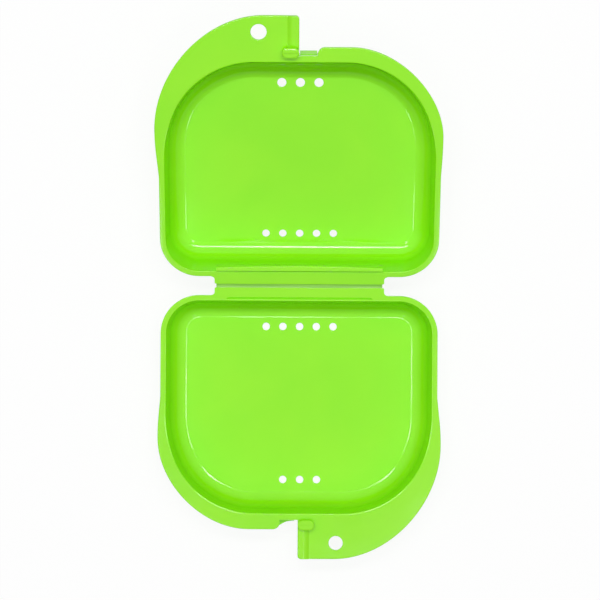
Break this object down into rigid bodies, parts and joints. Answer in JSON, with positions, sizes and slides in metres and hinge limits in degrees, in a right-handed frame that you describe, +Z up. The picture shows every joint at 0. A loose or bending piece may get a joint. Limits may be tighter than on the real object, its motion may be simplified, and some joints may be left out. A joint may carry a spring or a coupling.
{
  "type": "retainer case",
  "caption": "Hinged clamshell retainer case with vented trays, a living hinge, offset grip tabs with lanyard holes, and snap catches.",
  "frame": {"origin": "centre of the base tray's flat underside", "axes": "+Z up out of the base tray, +Y from the base's latch towards the hinge and the lid, +X to the right seen from the base's latch side"},
  "size_m": [0.0806, 0.1507, 0.0402],
  "materials": {
    "shell_plastic": "injection moulded polypropylene, lime green, gloss",
    "film_plastic": "the same polypropylene drawn thin at the hinge, paler and slightly see-through"
  },
  "bodies": {
    "base": {"base_tray": "shell_plastic", "base_front_lip": "shell_plastic", "base_side_flange": "shell_plastic", "base_keeper": "shell_plastic", "base_hinge_leaf": "shell_plastic", "hinge_film": "film_plastic"},
    "base_tab": {"base_grip_tab": "shell_plastic", "base_catch": "shell_plastic", "base_guide_rib": "shell_plastic"},
    "lid": {"lid_tray": "shell_plastic", "lid_front_lip": "shell_plastic", "lid_side_flange": "shell_plastic", "lid_keeper": "shell_plastic", "lid_hinge_leaf": "shell_plastic", "lid_locating_lip": "shell_plastic"},
    "lid_tab": {"lid_grip_tab": "shell_plastic", "lid_catch": "shell_plastic", "lid_guide_rib": "shell_plastic"}
  },
  "joints": [
    {"name": "lid_hinge", "type": "hinge", "parent": "base", "child": "lid", "pos_m": [0, 0.03438, 0.014], "axis": [1, 0, 0], "range_deg": [-19.4, 160.6], "deforming": ["hinge_film"]},
    {"name": "base_tab_flex", "type": "hinge", "parent": "base", "child": "base_tab", "pos_m": [0, -0.03193, 0.0125], "axis": [1, 0, 0], "range_deg": [0, 8], "stiffness_Nm_per_rad": 0.05},
    {"name": "lid_tab_flex", "type": "hinge", "parent": "lid", "child": "lid_tab", "pos_m": [0, 0.09741, 0.03461], "axis": [-1, 0, 0], "range_deg": [0, 8], "stiffness_Nm_per_rad": 0.05}
  ]
}
